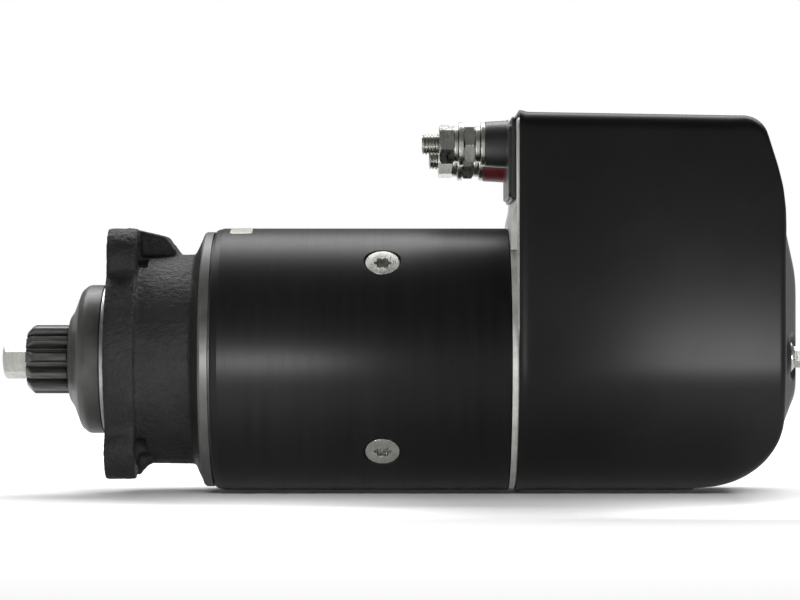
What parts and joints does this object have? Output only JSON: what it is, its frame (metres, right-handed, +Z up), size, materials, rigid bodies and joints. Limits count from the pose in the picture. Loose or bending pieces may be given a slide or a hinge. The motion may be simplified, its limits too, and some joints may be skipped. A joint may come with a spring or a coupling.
{
  "type": "starter motor",
  "caption": "Coaxial sliding-gear engine starter motor with lobed mounting flange, toothed pinion, round yoke and tall pressed rear cover with stud terminals.",
  "frame": {"origin": "on the rotation axis in the mounting face of the flange", "axes": "+X along the rotation axis towards the rear cover, the pinion points to -X; +Z up, towards the terminals"},
  "size_m": [0.4369, 0.1497, 0.2077],
  "materials": {
    "cast_black": "rough sand-cast, black paint",
    "machined_dark": "dark machined steel, satin",
    "black_paint": "satin black paint",
    "zinc": "bright zinc plating",
    "pinion_steel": "dark phosphated steel",
    "aluminium": "raw die-cast",
    "black_plastic": "moulded, satin",
    "red_plastic": "moulded, satin",
    "label": "blank foil",
    "steel": "machined",
    "copper": "enamelled copper",
    "bronze": "sintered bronze",
    "carbon": "carbon brush",
    "rubber_black": "seal rubber",
    "friction": "clutch lining"
  },
  "bodies": {
    "frame": {"drive_housing": "cast_black", "nose_cap": "machined_dark", "nose_seal": "rubber_black", "nose_bearing": "steel", "nose_o_ring": "rubber_black", "bearing_plate": "aluminium", "bearing_bush": "bronze", "yoke": "black_paint", "pole_shoes": "steel", "pole_screws": "zinc", "field_coils": "copper", "through_bolts": "steel", "end_shield": "aluminium", "rear_bush": "bronze", "brush_holders": "bronze", "brush_springs": "steel", "solenoid_case": "steel", "solenoid_winding": "copper", "solenoid_core": "steel", "solenoid_screws": "zinc", "relay_frame": "steel", "relay_coil": "copper", "bus_bars": "copper", "lever_bracket": "steel", "terminal_plate": "black_plastic", "black_insulator": "black_plastic", "red_insulator": "red_plastic", "terminal_studs": "zinc", "outer_nuts": "zinc", "inner_nuts": "zinc", "spring_washers": "zinc", "flat_washers": "zinc", "rear_cover": "black_paint", "cover_seal": "rubber_black", "cover_bolts": "zinc", "cover_washers": "zinc", "blank_label": "label"},
    "armature": {"armature_shaft": "steel", "armature_core": "steel", "armature_winding": "copper", "commutator": "copper", "clutch_drum": "steel", "outer_plates": "friction"},
    "clutch": {"clutch_hub": "steel", "inner_plates": "friction"},
    "pinion_drive": {"pinion_spindle": "steel", "pinion": "pinion_steel", "pinion_cap_nut": "zinc", "pinion_spring": "steel"},
    "solenoid_plunger": {"plunger": "steel", "engagement_rod": "steel", "plunger_spring": "steel"},
    "lever": {"release_lever": "steel"},
    "relay_mover": {"relay_armature": "steel", "contact_bridge": "copper", "relay_spring": "steel"},
    "brush_1_body": {"brush_1": "carbon"},
    "brush_2_body": {"brush_2": "carbon"},
    "brush_3_body": {"brush_3": "carbon"},
    "brush_4_body": {"brush_4": "carbon"}
  },
  "joints": [
    {"name": "armature_spin", "type": "hinge", "parent": "frame", "child": "armature", "pos_m": [0.15, 0, 0], "axis": [1, 0, 0], "continuous": true},
    {"name": "freewheel_spin", "type": "hinge", "parent": "armature", "child": "clutch", "pos_m": [0.02, 0, 0], "axis": [1, 0, 0], "continuous": true},
    {"name": "pinion_slide", "type": "slide", "parent": "clutch", "child": "pinion_drive", "axis": [-1, 0, 0], "range_m": [0, 0.016], "stiffness_N_per_m": 900, "springref_m": -0.012, "deforming": ["pinion_spring"]},
    {"name": "plunger_slide", "type": "slide", "parent": "frame", "child": "solenoid_plunger", "axis": [-1, 0, 0], "range_m": [0, 0.016], "stiffness_N_per_m": 1500, "springref_m": -0.012, "deforming": ["plunger_spring"]},
    {"name": "lever_turn", "type": "hinge", "parent": "frame", "child": "lever", "pos_m": [0.346, 0.0092, 0.058], "axis": [0, 1, 0], "range_deg": [0, 15.8]},
    {"name": "relay_slide", "type": "slide", "parent": "frame", "child": "relay_mover", "axis": [1, 0, 0], "range_m": [0, 0.0033], "stiffness_N_per_m": 1500, "springref_m": -0.003, "deforming": ["relay_spring"]},
    {"name": "brush_1_slide", "type": "slide", "parent": "frame", "child": "brush_1_body", "axis": [0, -0.6756, 0.7373], "range_m": [0, 0.005], "stiffness_N_per_m": 800, "springref_m": -0.012, "deforming": ["brush_springs"]},
    {"name": "brush_2_slide", "type": "slide", "parent": "frame", "child": "brush_2_body", "axis": [0, -0.7373, -0.6756], "range_m": [0, 0.005], "stiffness_N_per_m": 800, "springref_m": -0.012, "deforming": ["brush_springs"]},
    {"name": "brush_3_slide", "type": "slide", "parent": "frame", "child": "brush_3_body", "axis": [0, 0.6756, -0.7373], "range_m": [0, 0.005], "stiffness_N_per_m": 800, "springref_m": -0.012, "deforming": ["brush_springs"]},
    {"name": "brush_4_slide", "type": "slide", "parent": "frame", "child": "brush_4_body", "axis": [0, 0.7373, 0.6756], "range_m": [0, 0.005], "stiffness_N_per_m": 800, "springref_m": -0.012, "deforming": ["brush_springs"]}
  ],
  "couplings": [
    {"joint": "pinion_slide", "follows": "plunger_slide", "ratio": 1},
    {"joint": "lever_turn", "follows": "plunger_slide", "rad_per_m": 17.093}
  ]
}
